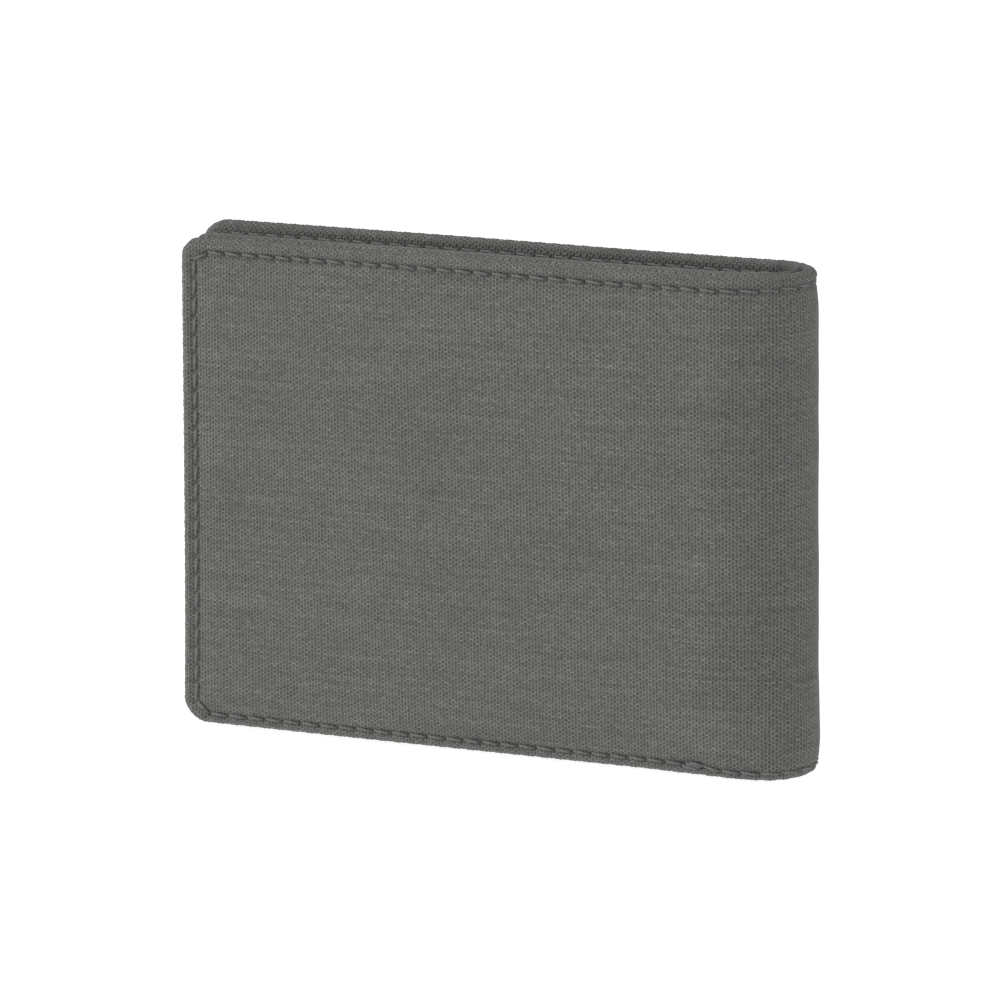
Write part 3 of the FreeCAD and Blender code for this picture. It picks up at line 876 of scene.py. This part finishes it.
PANEL_LEFT = 1.0
PANEL_RIGHT = FLAT - 9.7
PANEL_LOW = 1.0
BACKING = 3.0
BACKING_THICK = 0.4
POCKET_THICK = 0.5
STEP = 0.95
MOUTHS = (74.0, 66.0, 58.0)
MOUTH_SEAM = 2.6
WINDOW_FRAME = 9.0
WINDOW_RIM = 3.0
WALL_FACE = BACKING + BACKING_THICK
WALL_TOP = 88.92
HEM_FOOT = 83.9
HEM_FACE = 6.35
HEM_NOSE = 1.3
HEM_SEAM = 1.7


def hem_outside(s, z):
    """Face of the inner wall's hem against the cover's rim: above the rim's foot it lies on the rim."""
    return RIM + 0.12 + 0 * np.asarray(s, float)


def hem_inside(s, z):
    """Visible face of the inner wall's hem, drawn in along its own seam."""
    taper = 2.7 * smooth(s, FLAT - 2, SHEET / 2 + 2)
    return HEM_FACE - taper - 0.5 * bell(z - HEM_FOOT - HEM_SEAM, 0.5) + 0.08 * waves(s * 1.7, z)


def inner_wall():
    """The front half's backing, which goes on into the spine, and the thick turned hem along its top."""
    visible, hidden = panel_fields(WALL_FACE, BACKING_THICK, WALL_TOP + 5, 0.25, reach=FLAT + 9)
    top_corner = TOP_CORNER - PANEL_LEFT
    wall = slab("front_wall", POCKET, (PANEL_LEFT, FLAT, PANEL_LOW, WALL_TOP - 0.3), place, visible,
                hidden, 0.15, (top_corner, CORNER - PANEL_LEFT, 0, 0), opened=("right",), step=0.8,
                wide=2.4, insets=(0.6, 1.2, 1.8), uv_shift=(0, 17), back_wide=5.0, turns=4)
    hem = slab("front_wall_hem", POCKET, (PANEL_LEFT, FLAT, HEM_FOOT, WALL_TOP), place, hem_outside,
               hem_inside, HEM_NOSE, (top_corner, 1.5, 0, 0), opened=("right",), step=0.4, wide=0.7,
               insets=(0.35,), uv_shift=(0, 17), back_wide=0.7)
    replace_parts(wall, "front_panel_backing")
    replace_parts(hem, "front_panel_hem")
    for piece in (wall, hem):
        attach(piece, "front_half")
    return wall


def panel_fields(front_w, thin, high, gap, reach=PANEL_RIGHT):
    """The face seen when the wallet is open and the back face of a panel whose edges are turned."""
    def border(s, z):
        return np.minimum(np.minimum(s - PANEL_LEFT, reach - s), z - PANEL_LOW)

    def uneven(s, z):
        return waves(s * 1.3 + front_w * 40, z)

    def visible(s, z):
        mouth = bell(high - 1.1 - z, 1.1)
        stitched = bell(high - MOUTH_SEAM - z, 0.35)
        sewn = bell(border(s, z) - 1.1, 0.45)
        return front_w + 0.10 * uneven(s, z) + 0.16 * mouth - 0.12 * stitched - 0.16 * sewn

    def hidden(s, z):
        margin = 1 - smooth(border(s, z), 1.2, 2.6)
        return front_w - thin - gap * margin + 0.06 * uneven(s, z)

    return visible, hidden


def panel(name, side, front_w, thin, high, gap):
    """A flat sewn panel of one half."""
    visible, hidden = panel_fields(front_w, thin, high, gap)
    insets = list(np.arange(0.4, 3.2, 0.4))
    corner = CORNER - PANEL_LEFT
    piece = slab(name, POCKET, (PANEL_LEFT, PANEL_RIGHT, PANEL_LOW, high), side_place(side), visible,
                 hidden, 0.3, (0.8, corner, 0.8, 0.8), insets=insets, step=0.6, wide=2.4,
                 uv_shift=(0, front_w * 31), back_wide=5.0, turns=6)
    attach(piece, f"{side}_half")
    return piece


def line_stitches(side, start, end, depth, pitch=3.0):
    """Topstitching along a straight line on the face seen when the wallet is open."""
    start, end = np.array(start, float), np.array(end, float)
    count = max(round(np.linalg.norm(end - start) / pitch), 1)
    put = side_place(side)
    found = []
    for number in range(count):
        a = start + (end - start) * number / count
        b = start + (end - start) * (number + 1) / count
        flat, w, t = stitch_points(a, b, lambda s, z: -depth(s, z), 0.2, 9)
        found.append(tube(put(flat[:, 0], flat[:, 1], -w), t, 0.17, 8))
    return found


def pockets(side):
    """Backing, stepped pockets and their stitching on one half."""
    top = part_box(f"{side}_panel_backing")[1].z / MM
    faces = [WALL_FACE + STEP * number for number in range(4)]
    heights = (top,) + MOUTHS
    inner_s, outer_s = PANEL_RIGHT - 1.4, PANEL_LEFT + 1.4
    names = [f"{side}_panel_backing", f"{side}_card_pocket_top", f"{side}_card_pocket_middle",
             "front_id_pocket" if side == "front" else "back_card_pocket_bottom"]
    found = []
    for number, (face, high, node) in enumerate(zip(faces, heights, names)):
        thin = BACKING_THICK if number == 0 else POCKET_THICK
        gap = 0.25 if number == 0 else STEP - POCKET_THICK - 0.03
        visible, _ = panel_fields(face, thin, high, gap)
        if node == "front_panel_backing":
            wall = inner_wall()
            high = HEM_FOOT + HEM_SEAM
            found += line_stitches(side, (outer_s, high), (FLAT, high), hem_inside)
        elif node == "front_id_pocket":
            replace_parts(window_pocket(face, high), node)
        else:
            shown = node.replace("panel_backing", "backing").replace("card_", "")
            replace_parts(panel(shown, side, face, thin, high, gap), node)
        seam = high - MOUTH_SEAM
        if node != "front_panel_backing":
            found += line_stitches(side, (outer_s, seam), (inner_s, seam), visible)
        low = heights[number + 1] + 0.8 if number < 3 else PANEL_LOW + 1.4
        outer_low = low if number < 3 else CORNER
        found += line_stitches(side, (inner_s, seam), (inner_s, low), visible)
        found += line_stitches(side, (outer_s, seam), (outer_s, outer_low), visible)
    found += line_stitches(side, (CORNER, PANEL_LOW + 1.2), (inner_s, PANEL_LOW + 1.2), visible)
    thread = thread_piece(f"{side}_pocket_stitches", found, STITCH)
    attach(thread, f"{side}_half")
    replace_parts(thread, f"{side}_panel_thread")
    return wall if side == "front" else None


def grown(box, amount):
    """A box, low and high along each way, made larger on every side."""
    return box[0] - amount, box[1] + amount, box[2] - amount, box[3] + amount


def window_pocket(face, high):
    """The identity card pocket: a frame round a clear pane."""
    box = (PANEL_LEFT, PANEL_RIGHT, PANEL_LOW, high)
    opening = grown(box, -WINDOW_FRAME)
    visible, hidden = panel_fields(face, POCKET_THICK, high, 0.42)
    piece = frame_piece("front_id_pocket_frame", box, (0.8, CORNER - PANEL_LEFT, 0.8, 0.8), opening, 2.5,
                        visible, hidden)
    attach(piece, "front_half")

    pane_box = grown(opening, WINDOW_RIM)
    pane_w = face - 0.56

    def pane_face(s, z):
        return pane_w + 0.03 * waves(s * 2, z * 2)

    pane = slab("id_window_pane", CLEAR, pane_box, place, lambda s, z: pane_face(s, z) - 0.2, pane_face,
                0.08, (1, 1, 1, 1), step=2.0, wide=3.0, turns=4)
    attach(pane, "front_half")
    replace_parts(pane, "id_window")
    return piece


def frame_piece(name, box, radii, opening, radius, visible, hidden):
    """A closed flat ring between an outer and an inner outline."""
    edge, turns = 0.3, 6
    across = 14
    angles_count = 480

    def outline(area, corner_radii):
        points, _, _ = rounded(area, 0, 0.25, corner_radii, ())
        closed = np.concatenate([points, points[:1]])
        along = np.concatenate([[0], np.cumsum(np.linalg.norm(np.diff(closed, axis=0), axis=1))])
        at = np.linspace(0, along[-1], angles_count, endpoint=False)
        return np.stack([np.interp(at, along, closed[:, k]) for k in range(2)], axis=1)

    outer = outline(grown(box, -edge), radii)
    inner = outline(grown(opening, edge), (radius,) * 4)
    shares = 0.5 - 0.5 * np.cos(np.linspace(0, math.pi, across + 1))
    middle = (outer + inner) / 2
    way = (outer - inner) / np.linalg.norm(outer - inner, axis=1)[:, None]
    lines = []
    for share in shares:
        flat = outer + (inner - outer) * share
        binding = 0.14 * bell(share * 9 - 8.4, 0.7) - 0.12 * bell(share * 9 - 6.9, 0.3)
        lines.append((flat, visible(*flat.T) + binding))
    section = list(lines)
    back_lines = [(flat, hidden(*flat.T)) for flat, _ in lines]
    for turn in np.linspace(0, math.pi, turns + 1)[1:-1]:
        near, far = lines[-1][1], back_lines[-1][1]
        depth = (near + far) / 2 + (near - far) / 2 * math.cos(turn)
        section.append((inner - way * edge * math.sin(turn), depth))
    section += list(reversed(back_lines))
    for turn in np.linspace(0, math.pi, turns + 1)[1:-1]:
        near, far = lines[0][1], back_lines[0][1]
        depth = (near + far) / 2 - (near - far) / 2 * math.cos(turn)
        section.append((outer + way * edge * math.sin(turn), depth))
    count = len(section)
    points = np.concatenate([place(flat[:, 0], flat[:, 1], w) for flat, w in section])
    faces, uvs = [], []
    for k in range(count):
        after = (k + 1) % count
        for i in range(angles_count):
            j = (i + 1) % angles_count
            faces.append((k * angles_count + i, k * angles_count + j, after * angles_count + j,
                          after * angles_count + i))
            uvs += [section[k][0][i], section[k][0][j], section[after][0][j], section[after][0][i]]
    return make_object(name, points, faces, uvs, POCKET)


# ---------------------------------------------------------------- the studio

AZIMUTH = math.radians(19.916)
ELEVATION = math.radians(17.169)
ROLL = math.radians(-1.042)
DISTANCE = 961.7
LENS = 199.2
# the floor and the white walls, in metres; the stitches reach a little below the resting edge
ROOM_HALF = 3.0
FLOOR_LEVEL = -0.0009


def camera():
    back = Vector((math.sin(AZIMUTH) * math.cos(ELEVATION), -math.cos(AZIMUTH) * math.cos(ELEVATION),
                   math.sin(ELEVATION)))
    right = Vector((math.cos(AZIMUTH), math.sin(AZIMUTH), 0))
    up = back.cross(right)
    turned_right = math.cos(ROLL) * right + math.sin(ROLL) * up
    turned_up = -math.sin(ROLL) * right + math.cos(ROLL) * up
    item = bpy.data.objects.new("camera", bpy.data.cameras.new("camera"))
    bpy.context.scene.collection.objects.link(item)
    item.data.lens = LENS
    item.data.sensor_width = 36.0
    item.data.shift_x, item.data.shift_y = 0.0006, -0.0015
    item.data.clip_end = 20.0
    item.matrix_world = Matrix((turned_right, turned_up, back)).transposed().to_4x4()
    item.location = (Vector((0, 0, HEIGHT / 2)) + back * DISTANCE) * MM
    bpy.context.scene.camera = item


def area_light(name, place_m, size, power, aim=(0, 0, 0.045)):
    light = bpy.data.lights.new(name, "AREA")
    light.shape = "RECTANGLE"
    light.size, light.size_y = size
    light.energy = power
    item = bpy.data.objects.new(name, light)
    item.location = place_m
    item.rotation_euler = (Vector(aim) - Vector(place_m)).to_track_quat("-Z", "Y").to_euler()
    bpy.context.scene.collection.objects.link(item)


def glowing(name, colour, strength):
    """Matt white paper or card that also gives off some light of its own."""
    g = Nodes(name)
    g.fixed(Base_Color=(*colour, 1), Roughness=0.9, Specular_IOR_Level=0.2, Emission_Color=(1, 1, 1, 1),
            Emission_Strength=strength)
    return g.material


def stage_piece(name, mesh, material):
    mesh.materials.append(material)
    item = bpy.data.objects.new(name, mesh)
    bpy.context.scene.collection.objects.link(item)
    return item


def floor():
    mesh = bpy.data.meshes.new("floor")
    ends = (-ROOM_HALF, ROOM_HALF)
    mesh.from_pydata([(x, y, 0) for x in ends for y in ends], [], [(0, 2, 3, 1)])
    item = stage_piece("floor", mesh, glowing("floor_paper", (0.3, 0.3, 0.3), 0.94))
    item.location.z = FLOOR_LEVEL


def backdrop():
    """White walls all round, which only the camera sees: they give no light."""
    room = bmesh.new()
    bmesh.ops.create_cube(room, size=2 * ROOM_HALF)
    mesh = bpy.data.meshes.new("backdrop")
    room.to_mesh(mesh)
    room.free()
    item = stage_piece("backdrop", mesh, glowing("backdrop_white", (0, 0, 0), 1.0))
    for ray in ("diffuse", "glossy", "transmission", "volume_scatter", "shadow"):
        setattr(item, f"visible_{ray}", False)


def lights():
    world = bpy.data.worlds.new("studio")
    world.use_nodes = True
    world.node_tree.nodes["Background"].inputs[0].default_value = (1, 1, 1, 1)
    world.node_tree.nodes["Background"].inputs[1].default_value = 0.17
    bpy.context.scene.world = world
    bpy.context.scene.view_settings.view_transform = "Standard"
    area_light("key", (-1.25, -0.8, 1.0), (0.9, 0.9), 20)
    area_light("top", (-0.1, -0.25, 1.3), (1.2, 1.0), 7)
    area_light("rim", (1.3, 0.2, 0.5), (0.4, 0.8), 4)


# ---------------------------------------------------------------- build

front_holes = half_holes()
top_holes, bottom_holes = spine_holes()
for row in (front_holes, mirrored(front_holes), top_holes, bottom_holes):
    HOLES += row
    SHADES += shaded_places(row)
for name in SIDES:
    cover_half(name)
    cover_thread(name, front_holes)
front_wall = pockets("front")
pockets("back")
strips = [spine_strip(fold) for fold in range(1, len(FOLDS) + 1)]
[lining for lining, _ in strips[:3]]
[lining for lining, _ in strips[3:]]
camera()
floor()
backdrop()
lights()
